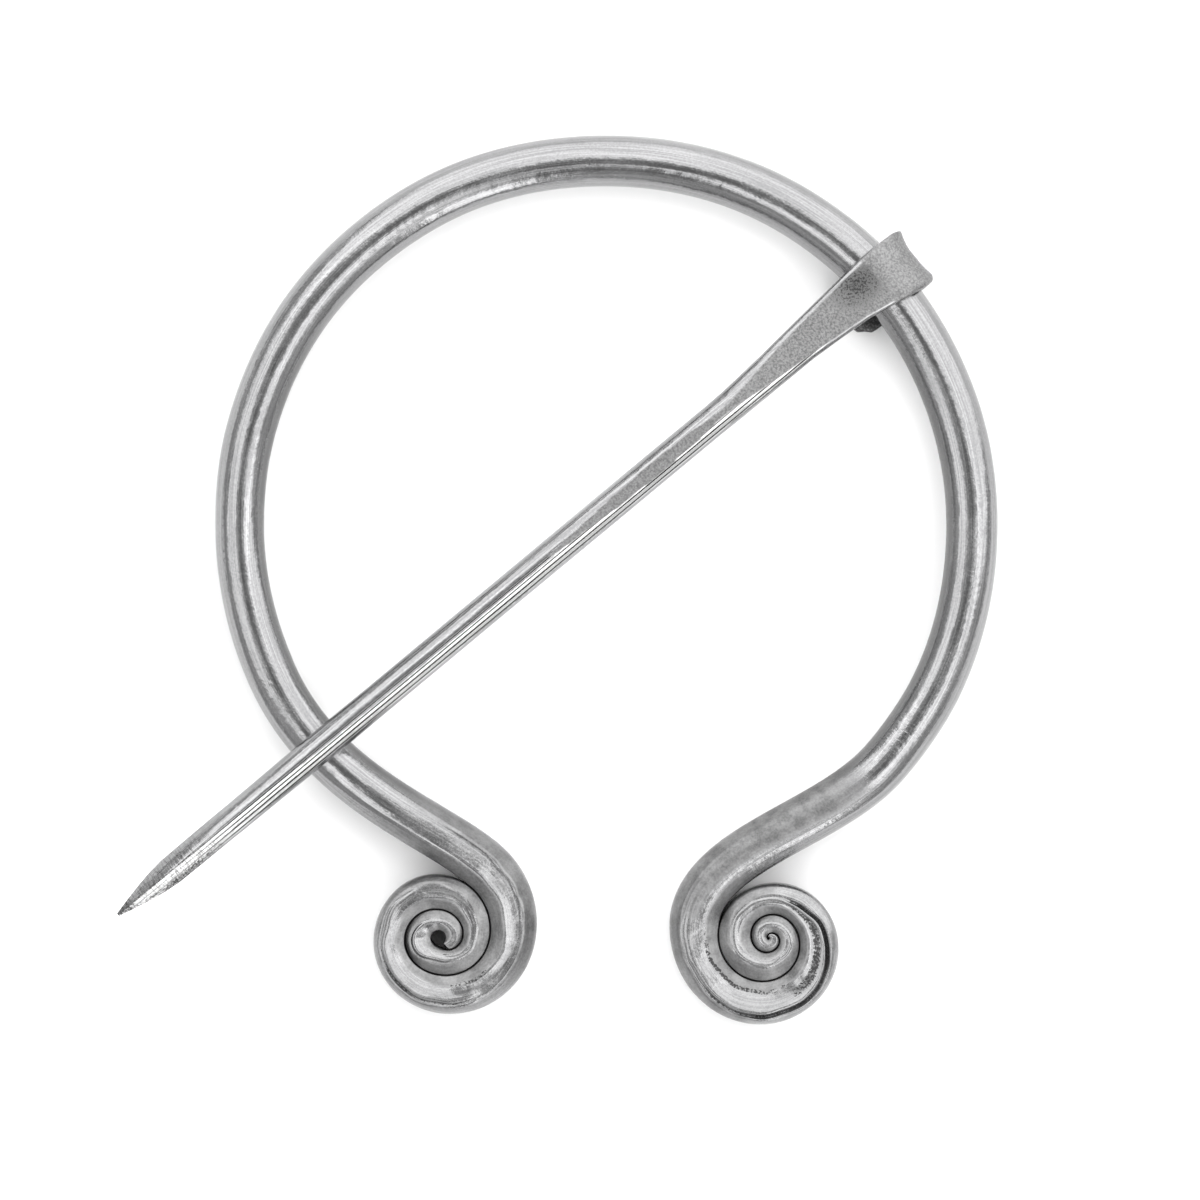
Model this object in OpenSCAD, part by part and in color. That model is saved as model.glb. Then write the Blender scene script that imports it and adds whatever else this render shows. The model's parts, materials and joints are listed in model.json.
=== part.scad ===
// Penannular brooch. One round rod is bent into an open hoop, and each of its ends is
// rolled into a flat coil. A straight pin has its head hammered flat and bent round the rod.
// It lies on z = 0 on its two coils and the pin's head, with the hoop's centre on the Z axis.

/* [Hoop] */
// Radius of the hoop, to the middle of its rod
hoop_r = 30.5; // [30.2:0.1:30.8]
// Thickness of the rod
rod_d = 4.25; // [4:0.05:4.4]
// Angle at which the rod leaves the round towards the left coil
left_leave = 204; // [200:1:208]
// Angle at which the rod leaves the round towards the right coil
right_leave = -40; // [-44:1:-38]

/* [Coils] */
// Distance of the left coil's centre left of the hoop's centre
left_coil_x = 13.85; // [13.5:0.05:14.2]
// Distance of the right coil's centre right of the hoop's centre
right_coil_x = 13.5; // [13.2:0.05:14]
// Distance of both coils' centres below the hoop's centre
coil_y = 34.4; // [34:0.1:35]
// Height of a coil's first turn
coil_h = 5.4; // [5:0.05:5.4]
// How much lower the innermost turn stands than the first
coil_dish = 0.6; // [0:0.1:1]
// Gap between two turns of a coil
turn_gap = 0.2; // [0.15:0.05:0.3]

/* [Pin] */
// Thickness of the pin's shaft
pin_d = 2.65; // [2.4:0.05:2.8]
// Length from the pin's point to the middle of the rod that it hangs on
pin_reach = 82.2; // [78:0.2:84]
// Angle on the hoop at which the pin's head sits
head_angle = 41.5; // [30:0.5:60]
// Direction of the pin, from its point to its head
pin_dir = 39.7; // [30:0.1:60]
// Length of the filed point
point_len = 12; // [8:0.5:14]
// Length over which the shaft swells behind the point
swell_len = 14; // [8:0.5:16]
// Length over which the shaft flattens towards the head
neck_len = 18; // [16:0.5:20]
// Width of the head's strip where it is widest
strip_w = 5.3; // [4.6:0.1:5.6]
// Thickness of the head's strip
strip_t = 0.9; // [0.8:0.05:1.1]
// Room between the rod and the loop that the head makes round it
loop_clear = 0.3; // [0.25:0.05:0.4]
// Length of the loop's free end under the rod
tail_len = 4.2; // [3:0.1:4.5]

/* [Hidden] */

bore_r = rod_d / 2 + loop_clear;
rod_z = bore_r + strip_t;
shaft_gap = 0.03;
// A faceted end meets a round one inside its rim, so it is this much slimmer
join_share = 0.99;
shaft_z = bore_r + shaft_gap + pin_d / 2;
sides = 16;
smooth = 96;

// How far a hammered coil's section reaches below z = 0 before its underside is cut flat
foot_cut = 0.35;
// Squareness of a section: 2 is round, more is squarer, less comes to a ridge
round_e = 2;
coil_e = 2.9;
point_e = 1.2;
strip_e = 5;

// Columns of a terminal
SIDE = 0;
CENTRE = 1;
LEAVE = 2;
START = 3;
FINISH = 4;
REACH_OUT = 5;
REACH_IN = 6;
EDGES = 7;

// The radius of a coil's outer edge about its centre, at each quarter turn from the first
// row's angle inwards. A turn's inner edge is the outer edge of the next turn.
quarter = 90;
left_edges = [9.95, 8.05, 6.3, 5.55, 5.3, 4.15, 3.05, 2.9, 2.4, 1.65, 0.8, 0.85, 0.65, 0.2];
right_edges = [9.9, 8.2, 7.2, 5.85, 4.55, 4.15, 3.55, 2.55, 1.95, 1.4, 1.15, 0.9, 0.3, 0.05, 0.05, 0.05];

// Each terminal: side, coil's centre, angle where it leaves the hoop, angles in the coil
// where the shank ends and where the strip ends, reach of the shank's curve out of the
// hoop and into the coil, and the coil's edge radii
left_terminal = [-1, [-left_coil_x, -coil_y], left_leave, 58, -750, 10.4, 5.8, left_edges];
right_terminal = [1, [right_coil_x, -coil_y], right_leave, 13, -885, 7, 6.2, right_edges];

shank_steps = 12;
coil_step = 9;

// Columns of the neck's rows
N_X = 0;
N_W = 1;
N_T = 2;
N_E = 3;
// How the shaft flattens: distance from the rod, width, thickness and squareness
neck_rows = [
    [-neck_len, join_share * pin_d, join_share * pin_d, round_e],
    [-14.5, 2.8, 2.35, 2.3],
    [-11.5, 3.05, 1.95, 2.9],
    [-8.5, 3.4, 1.6, 3.6],
    [-5.5, 3.8, 1.3, 4.3],
    [-2.8, 4.3, 1.1, 4.7],
    [0, 4.9, strip_t, strip_e]
];

// Columns of the point's rows
P_S = 0;
P_W = 1;
P_E = 2;
// How the point grows: share of its length, share of its full width and squareness
point_rows = [
    [0, 0.16, point_e],
    [0.1, 0.38, point_e],
    [0.22, 0.62, point_e],
    [0.34, 0.82, 1.3],
    [0.46, 0.95, 1.45],
    [0.7, 0.98, 1.75],
    [1, join_share, round_e]
];
point_d = pin_d - 0.15;

loop_step = 10;
tail_rise = 8;
tail_steps = 3;
// How far inside the bore the strip is drawn before the bore is cut
bore_bite = 0.1;

function signed_pow(c, e) = sign(c) * pow(abs(c), 2 / e);
function unit(v) = v / norm(v);
function turned(v, a) = [v[0] * cos(a) - v[1] * sin(a), v[0] * sin(a) + v[1] * cos(a)];
function ease(t) = t * t * (3 - 2 * t);
function mix(a, b, t) = a * (1 - t) + b * t;

// Value of an evenly stepped list at place u, on a smooth curve through its entries
function at(list, k) = list[max(0, min(len(list) - 1, k))];
function curve(a, b, c, d, t) =
    b + ((c - a) * t + (2 * a - 5 * b + 4 * c - d) * t * t + (3 * b - 3 * c + d - a) * t * t * t) / 2;
function along(list, u) =
    let (k = floor(u), before = k == 0 ? 2 * list[0] - list[1] : at(list, k - 1))
    curve(before, at(list, k), at(list, k + 1), at(list, k + 2), u - k);

// Radius of a coil's outer edge at angle a, which falls by a full turn for each turn inwards
function edge_r(t, a) = max(0.04, along(t[EDGES], (quarter - a) / quarter));
function outward(t, a) = [-t[SIDE] * cos(a), sin(a)];
function strip_mid(t, a) = t[CENTRE] + outward(t, a) * (edge_r(t, a) + edge_r(t, a - 360)) / 2;
function strip_width(t, a) = edge_r(t, a) - edge_r(t, a - 360) - turn_gap;

// A station is a section's centre, its two directions, width, thickness and squareness
function section(s) = [
    for (k = [0 : sides - 1])
    let (a = (k + 0.5) * 360 / sides)
    s[0] + s[1] * signed_pow(cos(a), s[5]) * s[3] / 2 + s[2] * signed_pow(sin(a), s[5]) * s[4] / 2
];

// A coil section's station from its plan place, direction, width, top and bottom
function flat_station(p, u, w, low, high, e) =
    [[p[0], p[1], (low + high) / 2], [u[0], u[1], 0], [0, 0, 1], w, high - low, e];

function bezier(p, t) =
    p[0] * pow(1 - t, 3) + p[1] * 3 * pow(1 - t, 2) * t + p[2] * 3 * (1 - t) * t * t + p[3] * pow(t, 3);
function bezier_way(p, t) =
    unit((p[1] - p[0]) * pow(1 - t, 2) + (p[2] - p[1]) * 2 * (1 - t) * t + (p[3] - p[2]) * t * t);

// The shank from the round of the hoop to the coil
function shank_points(t) =
    let (
        from = hoop_r * [cos(t[LEAVE]), sin(t[LEAVE])],
        way_out = -t[SIDE] * [-sin(t[LEAVE]), cos(t[LEAVE])],
        to = strip_mid(t, t[START]),
        way_in = unit(strip_mid(t, t[START] - 0.5) - to)
    )
    [from, from + way_out * t[REACH_OUT], to - way_in * t[REACH_IN], to];

function shank_stations(t) =
    let (
        p = shank_points(t),
        last = turned(bezier_way(p, 1), 90),
        first_u = -t[SIDE] * outward(t, t[START]),
        skew = asin(last[0] * first_u[1] - last[1] * first_u[0]),
        end_w = strip_width(t, t[START]),
        join_d = join_share * rod_d
    )
    [
        for (k = [0 : shank_steps - 1])
        let (
            s = k / shank_steps,
            u = turned(bezier_way(p, s), 90 + skew * pow(s, 3)),
            low = mix(rod_z - join_d / 2, -foot_cut, ease(s)),
            high = mix(rod_z + join_d / 2, coil_h, ease(s))
        )
        flat_station(bezier(p, s), u, mix(join_d, end_w, ease(s)), low, high, mix(round_e, coil_e, ease(s)))
    ];

function coil_stations(t) =
    let (turn = t[START] - t[FINISH], steps = round(turn / coil_step))
    [
        for (k = [0 : steps])
        let (a = t[START] - turn * k / steps, high = coil_h - coil_dish * k / steps)
        flat_station(strip_mid(t, a), -t[SIDE] * outward(t, a), strip_width(t, a), -foot_cut, high, coil_e)
    ];

// Nothing of the terminals reaches below z = 0
function rested(p) = [p[0], p[1], max(0, p[2])];

// A solid through a row of sections
module swept(rings) {
    count = len(rings);
    polyhedron(
        points = [for (ring = rings) each ring],
        faces = concat(
            [[for (k = [0 : sides - 1]) k]],
            [
                for (i = [0 : count - 2], k = [0 : sides - 1])
                let (n = (k + 1) % sides)
                [i * sides + k, (i + 1) * sides + k, (i + 1) * sides + n, i * sides + n]
            ],
            [[for (k = [sides - 1 : -1 : 0]) (count - 1) * sides + k]]
        ),
        convexity = 12
    );
}

module round_of_hoop() {
    translate([0, 0, rod_z])
        rotate([0, 0, right_leave])
            rotate_extrude(angle = left_leave - right_leave, $fn = 2 * smooth)
                translate([hoop_r, 0])
                    circle(d = rod_d, $fn = smooth);
}

module terminal(t) {
    swept([for (s = concat(shank_stations(t), coil_stations(t))) [for (p = section(s)) rested(p)]]);
}

module hoop() {
    color("silver")
        union() {
            round_of_hoop();
            terminal(left_terminal);
            terminal(right_terminal);
        }
}

// Stations of the pin, along X from its point, with the rod's middle at the origin
function pin_station(x, low, w, t, e) = [[x, 0, low + t / 2], [0, 1, 0], [0, 0, 1], w, t, e];
function point_stations() = [
    for (r = point_rows)
    let (d = point_d * r[P_W])
    pin_station(-pin_reach + point_len * r[P_S], shaft_z - d / 2, d, d, r[P_E])
];
function neck_stations() = [
    for (r = neck_rows)
    let (low = mix(shaft_z - join_share * pin_d / 2, bore_r - bore_bite, ease(1 + r[N_X] / neck_len)))
    pin_station(r[N_X], low, r[N_W], r[N_T] + (r[N_X] == 0 ? bore_bite : 0), r[N_E])
];

// The strip's width at each eighth of a turn round the rod, from its top, and at its free end
eighth = 45;
loop_widths = [4.9, strip_w, 4.6, 4.8, 5];
tail_end_w = 4.6;
loop_end = -90 - tail_rise;
loop_mid_r = bore_r + (strip_t - bore_bite) / 2;
function loop_station(a) = [
    loop_mid_r * [cos(a), 0, sin(a)], [0, 1, 0], [cos(a), 0, sin(a)],
    along(loop_widths, (quarter - a) / eighth), strip_t + bore_bite, strip_e
];
function tail_station(s) =
    let (last = loop_station(loop_end), way = [sin(loop_end), 0, -cos(loop_end)])
    [last[0] + way * tail_len * s, last[1], last[2], mix(last[3], tail_end_w, s), last[4], last[5]];

module shaft() {
    from = -pin_reach + point_len;
    translate([from, 0, shaft_z])
        rotate([0, 90, 0])
            cylinder(h = swell_len, d1 = point_d, d2 = pin_d, $fn = smooth);
    translate([from + swell_len, 0, shaft_z])
        rotate([0, 90, 0])
            cylinder(h = -neck_len - from - swell_len, d = pin_d, $fn = smooth);
}

module head() {
    difference() {
        swept([
            for (s = concat(
                neck_stations(),
                [for (a = [90 - loop_step : -loop_step : loop_end + 1]) loop_station(a)],
                [for (k = [0 : tail_steps]) tail_station(k / tail_steps)]
            )) section(s)
        ]);
        rotate([90, 0, 0])
            cylinder(h = 2 * strip_w, r = bore_r, center = true, $fn = smooth);
    }
}

module pin() {
    color("lightgray")
        translate([hoop_r * cos(head_angle), hoop_r * sin(head_angle), rod_z])
            rotate([0, 0, pin_dir])
                union() {
                    shaft();
                    head();
                    swept([for (s = point_stations()) section(s)]);
                }
}

hoop();
pin();
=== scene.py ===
# Penannular brooch: the forged hoop with its two coils and the filed pin, modelled and finished
# round the packed frame, in its own coordinates. The scene is in metres; tables and sections are
# in millimetres, and angles in degrees.
import json
import math
from collections import namedtuple

import bmesh
import bpy
from bpy.props import FloatProperty, FloatVectorProperty, PointerProperty
from mathutils import Matrix, Vector, noise


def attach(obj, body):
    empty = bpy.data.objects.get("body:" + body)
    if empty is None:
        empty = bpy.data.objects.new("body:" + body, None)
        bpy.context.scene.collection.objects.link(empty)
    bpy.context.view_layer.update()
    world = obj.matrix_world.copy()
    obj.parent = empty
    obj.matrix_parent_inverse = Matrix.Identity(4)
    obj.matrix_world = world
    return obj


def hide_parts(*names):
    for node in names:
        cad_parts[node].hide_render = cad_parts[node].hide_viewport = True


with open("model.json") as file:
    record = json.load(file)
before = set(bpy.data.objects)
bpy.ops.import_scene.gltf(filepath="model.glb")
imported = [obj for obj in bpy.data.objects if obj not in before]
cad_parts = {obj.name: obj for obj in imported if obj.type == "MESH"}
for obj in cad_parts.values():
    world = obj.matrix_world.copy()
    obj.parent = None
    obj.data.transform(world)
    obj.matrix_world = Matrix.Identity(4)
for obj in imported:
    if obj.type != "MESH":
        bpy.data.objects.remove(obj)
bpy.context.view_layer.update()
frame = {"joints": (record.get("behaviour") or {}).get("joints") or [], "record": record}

bl_info = {
    "name": "Penannular brooch",
    "version": (1, 0, 0),
    "blender": (4, 5, 0),
    "location": "View3D > Sidebar > Brooch",
    "description": "Builds a forged penannular brooch: hoop with coiled ends, filed pin and stage",
    "category": "Add Mesh",
}

MM = 0.001
PER_MM = 1 / MM
FULL_TURN = 2 * math.pi
UP = Vector((0, 0, 1))

# What the frame says: the middle of the hoop's rod, and the pin's shaft
MOUNTS = {mount["name"]: mount for mount in frame["record"]["mounts"]}
ROD_Z = frame["joints"][0]["pos_m"][2]
SHAFT_PLACE = Vector(MOUNTS["pin_shaft"]["pos_m"])
PIN_WAY = -Vector(MOUNTS["pin_shaft"]["axis"])
SHAFT_R = MOUNTS["pin_shaft"]["dims"]["r_mm"] * MM

# A terminal, the shank and coil at one end of the hoop: its side, the coil's middle, the angle on
# the hoop where the shank leaves, the angles in the coil where the strip starts and finishes, the
# reach of the shank's curve at the hoop and at the coil, the coil's edges and features, how matt
# the shank is, and the seeds of both
(SIDE, CENTRE, LEAVE, START, FINISH, REACH_OUT, REACH_IN, EDGES, FEATURES, SATIN,
 SHANK_SEED, COIL_SEED) = range(12)

# The radius of a coil's outer edge at each quarter turn inwards, from the top of its first turn
LEFT_EDGES = (9.95, 8.05, 6.3, 5.55, 5.3, 4.15, 3.05, 2.9, 2.4, 1.9, 0.78, 0.7, 0.62, 0.45)
RIGHT_EDGES = (
    9.9, 8.2, 7.2, 5.85, 4.55, 4.15, 3.55, 2.55, 1.95, 1.4, 1.15, 0.9, 0.3, 0.05, 0.05, 0.05)
QUARTER = 90
LEAST_RADIUS = 0.04

# What the hammer left along a coil, by the angle in the coil: the depth of the lap beside the
# outer rim, the lean of the top face (above nought it looks at the coil's middle), the shares of
# the strip's width that the outer rim and the inner face take, the depth of the valley between
# them, how dark the inner face's edge is painted, and the outer rim's fall as a share of the width
LAP, LEAN, RIM, INNER, VALLEY, INNER_EDGE_DARK, BANK = range(1, 8)
LEFT_FEATURES = (
    (60, 0.1, -0.08, 0.26, 0.26, 0, 0, 0.38),
    (20, 0.14, -0.13, 0.27, 0.3, 0.06, 0, 0.4),
    (-20, 0.05, -0.13, 0.28, 0.32, 0.06, 0, 0.36),
    (-45, 0.06, -0.08, 0.25, 0.29, 0.05, 0.5, 0.3),
    (-90, 0.2, 0.14, 0.18, 0.25, -0.05, 0.1, 0.22),
    (-135, 0.34, 0.22, 0.17, 0.2, 0, 0, 0.22),
    (-180, 0.1, 0.1, 0.2, 0.3, 0.02, 0, 0.22),
    (-270, 0, -0.03, 0.22, 0.34, 0.05, 0, 0.2),
    (-360, 0, 0.02, 0.42, 0.24, 0.04, 0, 0.2),
    (-450, 0.1, 0.14, 0.42, 0.16, 0, 0.2, 0.2),
    (-540, 0.05, 0.26, 0.17, 0.2, 0, 0, 0.17),
    (-630, 0, 0.05, 0.34, 0.25, 0, 0, 0.2),
    (-768, 0, 0, 0.2, 0.2, 0, 0, 0.17),
)
RIGHT_FEATURES = (
    (13, 0.05, 0.05, 0.2, 0.26, 0, 0.1, 0.34),
    (-30, 0.12, 0.12, 0.19, 0.26, 0, 0.9, 0.32),
    (-60, 0.3, 0.16, 0.13, 0.25, 0, 0.8, 0.24),
    (-90, 0.42, 0.14, 0.12, 0.24, 0.05, 0.4, 0.18),
    (-135, 0.5, 0.05, 0.13, 0.22, 0.28, 0.05, 0.17),
    (-180, 0.65, 0, 0.24, 0.22, 0.42, 0, 0.2),
    (-225, 0.5, 0, 0.38, 0.24, 0.3, 0, 0.2),
    (-255, 0.12, 0.03, 0.38, 0.3, 0.08, 0, 0.2),
    (-300, 0, 0.06, 0.32, 0.3, 0.02, 0, 0.2),
    (-360, 0, 0.1, 0.28, 0.32, 0, 0, 0.2),
    (-450, 0.02, 0.12, 0.4, 0.2, 0, 0.1, 0.2),
    (-540, 0.02, 0.1, 0.3, 0.3, 0, 0, 0.2),
    (-885, 0, 0, 0.2, 0.2, 0, 0, 0.17),
)
LEFT = (
    -1, (-13.85, -34.4), 204, 58, -768, 10.4, 5.8, LEFT_EDGES, LEFT_FEATURES, 0.0, 5, 7)
RIGHT = (
    1, (13.5, -34.4), -40, 13, -975, 7, 6.2, RIGHT_EDGES, RIGHT_FEATURES, 1.0, 11, 13)

# The rod round the hoop, by angle: how far its middle stands off the true circle, and its width
OFF, WIDTH = 1, 2
ROD_ROWS = (
    (-40, 0, 4.25),
    (-25, 0.13, 4.25),
    (0, 0, 4.3),
    (20, 0.03, 4.4),
    (38, 0.06, 4.38),
    (60, 0.02, 4.34),
    (90, -0.15, 4.26),
    (120, 0.1, 4.25),
    (145, 0.2, 4.2),
    (165, 0.12, 4.12),
    (180, 0.03, 4.07),
    (204, 0, 4.2),
)
ARC_SEED, ROD_MATT = 3, 0.08
# Degrees from one section to the next, round the hoop and round a coil
ARC_STEP, COIL_STEP = 1.25, 3.6
# The drawn rod's faint flats: how many there are round it, about, and their length
FLATS_ROUND, FLAT_LENGTH = 2.2, 14
# Where a file crossed the rod: the angle on the hoop, how far it reaches either way, and the
# side of the section, from 0 for outwards over 90 for the top to 180 for inwards. The marks fade
# between two angles from that side.
FILED_PATCHES, FILED_FADE = ((182, 5, 20), (-36, 9, 110)), (35, 75)

# Corners of a coil's section, from the inner side over the top to the outer side and the foot:
# the direction on the round rod that each is forged from, the place across from -1 at the outer
# edge to 1, the height as a share of the coil's for the foot or else how far below the top it
# lies as a share of the strip's width, how matt the face after it is, and its rounding's reach
FROM, ACROSS, FOOT, DROP, MATT, ROUNDING = range(6)
STRIP_CORNERS = (
    (-30, 1, 0.12, None, 0.6, 0.2),
    (14, 1, None, 0.17, 0.85, 0.05),
    (50, 0.42, None, 0, 0.2, 0.13),
    (72, 0.1, None, 0, 0.3, 0.28),
    (95, -0.3, None, 0, 0.3, 0.12),
    (112, -0.44, None, 0.015, 0.3, 0.1),
    (130, -0.56, None, 0.03, 0.35, 0.12),
    (160, -1, None, 0.2, 0.35, 0.26),
    (205, -1, 0.12, None, 0.3, 0.24),
    (245, -0.84, 0, None, 0.3, 0.24),
    (295, 0.84, 0, None, 0.3, 0.24),
)
INNER_CREASE, VALLEY_FLOOR, RIDGE, LAP_FLOOR, RIM_CREASE, RIM_SIDE = range(2, 8)
SEAM_ROUNDING = 0.05
# A corner is cut three times, to eight points: the reach of each cut as a share of the rounding
CORNER_CUTS = (1.0, 0.375, 0.145)
POINTS_PER_CORNER = 2 ** len(CORNER_CUTS)
# The most that one cut takes off an edge, as a share of it
MOST_CUT = 0.33
# How the painted shade in a crease, and the darker inner edge, fade over those eight points
CREASE_SPREAD = (0.1, 0.6, 1.0, 1.0, 1.0, 1.0, 0.6, 0.1)
# How much the top is marked across, and how matt the outer rim is away from the coil's bottom
HAMMERED, RIM_MATT = 0.5, 0.8
# Depths over which the painted shade in a lap comes and grows solid, and a valley's painted shade
# comes, with how much there is in a lap before it is solid, and in a valley at most
LAP_SHADE, LAP_SOLID, VALLEY_SHADE = (0.0, 0.4), (0.42, 0.54), (0.1, 0.35)
LOOSE_SHADE, VALLEY_MOST = 0.58, 0.8
# Angles from a coil's start: where its outer rim grows polished and dull again, and where its
# inner and its outer side come to lie against the next turn
RIM_POLISHED, RIM_DULL = (70, 120), (230, 310)
INNER_SEAM, OUTER_SEAM = (0, 30), (310, 360)
# What wanders along a coil: by how much, over what length, and what its seed adds to the coil's
RIM_DRIFT, INNER_DRIFT, LEAN_DRIFT = (0.09, 1.5, 0), (0.12, 1.9, 2), (0.035, 1.7, 1)
VALLEY_DRIFT, CREASE_DRIFT, BANK_DRIFT = (0.05, 1.2, 5), (0.03, 1.1, 3), (0.12, 2.3, 4)
# Across a coil's top: the ridge's distance from the rim, its nearest place to the inner face and
# the valley's place between the two, as shares
RIDGE_OFF, RIDGE_MOST, VALLEY_PLACE = 0.15, 0.6, 0.45

# The shank: its sections, how far apart they lie about, the turn into the coil that gives its way
# there, the shares of it over which its matt top comes and goes, and how much of that is left
SHANK_STEPS, SHANK_RUN, TURN_IN = 44, 0.6, 0.5
SATIN_COMES, SATIN_GOES, SATIN_LEFT = (0.0, 0.3), (0.7, 1.0), 0.6
# The directions on the rod between which that top lies
TOP_FROM, TOP_TO = (55, 80), (215, 195)

# The pin from its point: share of the point's length, share of the width, squareness
P_WIDTH, P_SQUARE = 1, 2
POINT_ROWS = (
    (0, 0.13, 1.1),
    (0.1, 0.37, 1.1),
    (0.22, 0.62, 1.1),
    (0.34, 0.83, 1.12),
    (0.46, 0.95, 1.2),
    (0.7, 0.98, 1.4),
    (1, 1, 1.65),
)

# The neck from the shaft to the rod: distance from the rod, width, thickness, squareness,
# share of the width that is filed flat on top, and how far its middle lies to the upper left
N_PLACE, N_WIDTH, N_THICK, N_SQUARE, N_FLAT, N_ASIDE = range(6)
NECK_ROWS = (
    (-18, 2.66, 2.65, 2, 0.2, 0),
    (-16.2, 2.73, 2.52, 2.1, 0.22, 0),
    (-14.5, 2.84, 2.34, 2.3, 0.36, 0.05),
    (-11.5, 3.08, 1.95, 2.7, 0.6, 0.16),
    (-8.5, 3.36, 1.6, 3.2, 0.74, 0.3),
    (-5.5, 3.78, 1.3, 3.8, 0.82, 0.34),
    (-2.8, 4.2, 1.1, 4.4, 0.86, 0.35),
    (0, 4.9, 0.9, 5, 0.88, 0.2),
)

# The filed flat on the shaft's top: distance from the rod and width
F_WIDTH = 1
FLAT_ROWS = ((-37, 0), (-33, 0.5), (-28, 0.95), (-24, 1.15), (-20.5, 0.95), (-18, 0.55))

# The loop round the rod, by the angle down from its top: width, how far its edges curl away
# from the rod, and how far its middle lies to the upper left
L_DOWN, L_WIDTH, L_CURL, L_ASIDE = range(4)
LOOP_ROWS = (
    (0, 4.9, 0, 0.2),
    (25, 5.15, 0.06, 0.08),
    (55, 5.3, 0.26, -0.1),
    (90, 5, 0.34, -0.25),
    (120, 4.8, 0.12, -0.3),
    (150, 4.8, 0, -0.38),
    (188, 4.9, 0, -0.5),
)

PIN_SIDES = 96
PIN_ANGLES = [FULL_TURN * (k + 0.5) / PIN_SIDES for k in range(PIN_SIDES)]
POINT_STEPS, SHAFT_STEPS, NECK_STEPS, LOOP_STEPS, TAIL_STEPS = 48, 96, 60, 56, 8
LOOP_TURN = LOOP_ROWS[-1][L_DOWN]
# How far the edges of a filed flat are softened, in millimetres
POINT_SOFT, SHAFT_SOFT, NECK_SOFT = 0.04, 0.03, 0.05
# Squareness of a round section and of the bent strip
ROUND, STRIP_SQUARE = 2.0, 5.0
# The point: shares of its length over which the file marks fade, and its painted shade and dark tip
POINT_MARKS, POINT_MATT = (0.55, 1.0), 0.1
RIDGE_HALF, RIDGE_SHADE = 0.05, 0.9
EDGE_ACROSS, EDGE_ALONG, EDGE_FAINT, EDGE_SHADE = (0.26, 0.36), (0.25, 0.4), 0.4, 0.75
TIP_ALONG, TIP_DARKENING = (0.16, 0.06), 0.7
# The shaft: its filed flat, and the faint flats of drawing
FLAT_MATT, FLAT_MARGIN = 0.9, 0.005
SHAFT_SEED, SHAFT_FLATS, SHAFT_FLAT_LENGTH = 21, 2, 16
# The hammer's dent in the head: its middle, its size along the pin and across it, and how much
# painted shade lies in it
DENT_PLACE, DENT_SIZE, DENT_SHADE = (-1.8, 1.15), (1.7, 1.3), 0.75
# How far the head's upper left side leans in at its top, and how wide that side is
SIDE_LEAN, LEAN_WIDTH = 0.2, 1.5
# The loop: how suddenly its edges curl, from where across it its lower corner is worn, where the
# painted shade under the rod comes by the angle down from its top, and how matt its two sides are
CURL_POWER, WORN_FROM, UNDER_SHADE = 2.5, 0.75, (110, 150)
OUTSIDE_FROM, OUTSIDE_MATT, INSIDE_MATT = 0.3, 0.9, 0.4
# How far the free end narrows at either edge, and how its lower corner is cut
TAPER_LOWER, TAPER_UPPER, TAIL_CUT, TAIL_CUT_ALONG = 0.06, 0.05, 0.26, (0.7, 1.0)

# How far apart two seeds lie in the noise, and what brings its values to about -1 to 1
SEED_STRIDE, NOISE_GAIN = (17.3, -5.1, 2.7), 1.6


def heading(degrees):
    """The flat direction at that angle, anticlockwise from +X."""
    return Vector((math.cos(math.radians(degrees)), math.sin(math.radians(degrees))))


def turned(vector, degrees):
    """A flat vector turned anticlockwise."""
    return Matrix.Rotation(math.radians(degrees), 2) @ vector


def mix(a, b, share):
    """The value that share of the way from a to b."""
    return a + (b - a) * share


def ease(share):
    """A smooth step from 0 to 1."""
    share = min(1.0, max(0.0, share))
    return share * share * (3 - 2 * share)


def ramp(value, low, high):
    """A smooth step of the value from 0 at low to 1 at high."""
    return ease((value - low) / (high - low))


def curve(a, b, c, d, share):
    """The smooth curve from b to c that a and d lead into and out of."""
    return b + ((c - a) * share + (2 * a - 5 * b + 4 * c - d) * share ** 2
                + (3 * b - 3 * c + d - a) * share ** 3) / 2


def along(values, place):
    """An evenly spaced list's value at a place between its entries, on a smooth curve."""
    step = math.floor(place)
    last = len(values) - 1
    near = [values[max(0, min(last, step + k))] for k in (-1, 0, 1, 2)]
    if step == 0:
        near[0] = 2 * values[0] - values[1]
    return curve(*near, place - step)


def row_at(rows, place, column, smooth=True):
    """A column's value between the rows of a table whose first column runs steadily up or down."""
    way = 1 if rows[-1][0] > rows[0][0] else -1
    step = 0
    while step < len(rows) - 2 and (place - rows[step + 1][0]) * way > 0:
        step += 1
    low, high = rows[step], rows[step + 1]
    share = min(1.0, max(0.0, (place - low[0]) / (high[0] - low[0])))
    return mix(low[column], high[column], ease(share) if smooth else share)


def wander(seed, *place):
    """A smooth random value from about -1 to 1, the same at each run."""
    moved = [value + seed * stride for value, stride in zip((*place, 0, 0), SEED_STRIDE)]
    return noise.noise(Vector(moved)) * NOISE_GAIN


def drift(kind, seed, run):
    """What one of a coil's wanderings adds at a length along it."""
    amount, length, own_seed = kind
    return amount * wander(seed + own_seed, run / length)


def signed_power(value, square):
    """A cosine or sine bent towards a squarer or sharper section."""
    return math.copysign(abs(value) ** (2 / square), value)


# One section of a swept piece: its place, the direction across it and the one up, its outline as
# offsets along those two, and how matt, filed and darkened each of its points is; the darkening is
# mostly painted shade
Station = namedtuple("Station", "place across up outline finish")

# How a cut end rounds over: share of the section left, and how far it stands out
END_ROUNDING = ((0.96, 0.05), (0.86, 0.09), (0.6, 0.11))
MERGE_DISTANCE = 1e-7


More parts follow.
